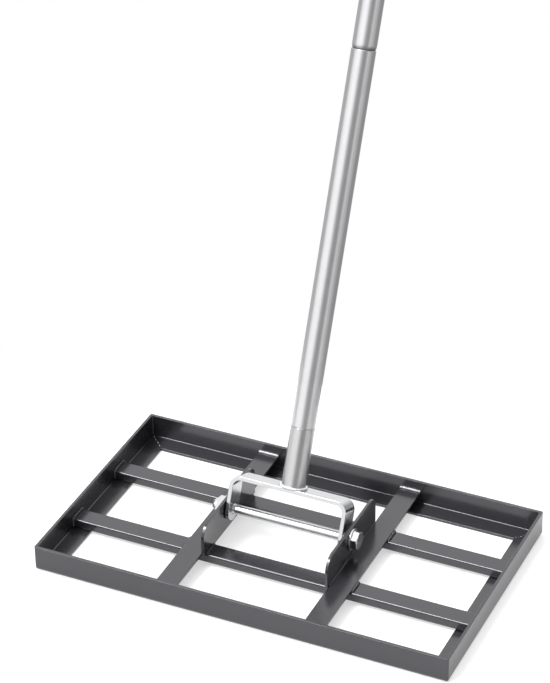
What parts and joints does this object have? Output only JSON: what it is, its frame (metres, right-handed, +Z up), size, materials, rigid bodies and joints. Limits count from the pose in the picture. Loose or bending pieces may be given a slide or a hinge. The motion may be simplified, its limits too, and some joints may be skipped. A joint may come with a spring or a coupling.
{
  "type": "lawn leveling rake",
  "caption": "Flat welded steel grid for spreading and leveling soil on a lawn, with a long sectional pole that tilts on a bolt between bracket plates.",
  "frame": {"origin": "on the ground, under the front rail's flange at the middle of its length and width", "axes": "+X along the grid's long side to the right as seen from the front, +Y from the front rail to the back rail, +Z up"},
  "size_m": [0.432, 0.8072, 1.6188],
  "materials": {
    "powder_coat": "dark grey satin powder coat with a fine grain",
    "coated_weld": "weld beads under the same dark grey coat",
    "bright_weld": "bright rippled weld bead",
    "zinc": "bright zinc plate",
    "pole_steel": "satin silver tube with fine lengthwise lines",
    "black_stud": "dark oxidised thread",
    "insert_steel": "plain turned steel",
    "plug_plastic": "grey moulded plastic",
    "grip_plastic": "soft dark grey moulded grip"
  },
  "bodies": {
    "frame": {"front_rail": "powder_coat", "back_rail": "powder_coat", "left_rail": "powder_coat", "right_rail": "powder_coat", "front_tube": "powder_coat", "back_tube": "powder_coat", "left_cross_bar": "powder_coat", "right_cross_bar": "powder_coat", "left_bracket": "powder_coat", "right_bracket": "powder_coat", "corner_welds": "coated_weld", "tube_welds": "coated_weld", "cross_bar_welds": "bright_weld", "crossing_welds": "coated_weld", "bracket_welds": "coated_weld", "pivot_bolt": "zinc", "head_washer": "zinc", "nut_washer": "zinc", "lock_nut": "zinc"},
    "handle": {"yoke": "zinc", "pole_socket": "pole_steel", "socket_weld_bead": "bright_weld", "socket_insert": "insert_steel", "lower_pole": "pole_steel", "lower_pole_stud": "black_stud", "lower_pole_insert": "insert_steel", "middle_pole": "pole_steel", "middle_pole_stud": "black_stud", "middle_pole_insert": "insert_steel", "upper_pole": "pole_steel", "upper_pole_stud": "black_stud", "upper_pole_collar": "plug_plastic", "grip_pole": "pole_steel", "grip_pole_plug": "plug_plastic", "hand_grip": "grip_plastic"}
  },
  "joints": [
    {"name": "handle_tilt", "type": "hinge", "parent": "frame", "child": "handle", "pos_m": [-0.003, 0.116, 0.0345], "axis": [-1, 0, 0], "range_deg": [-110, 64]}
  ]
}
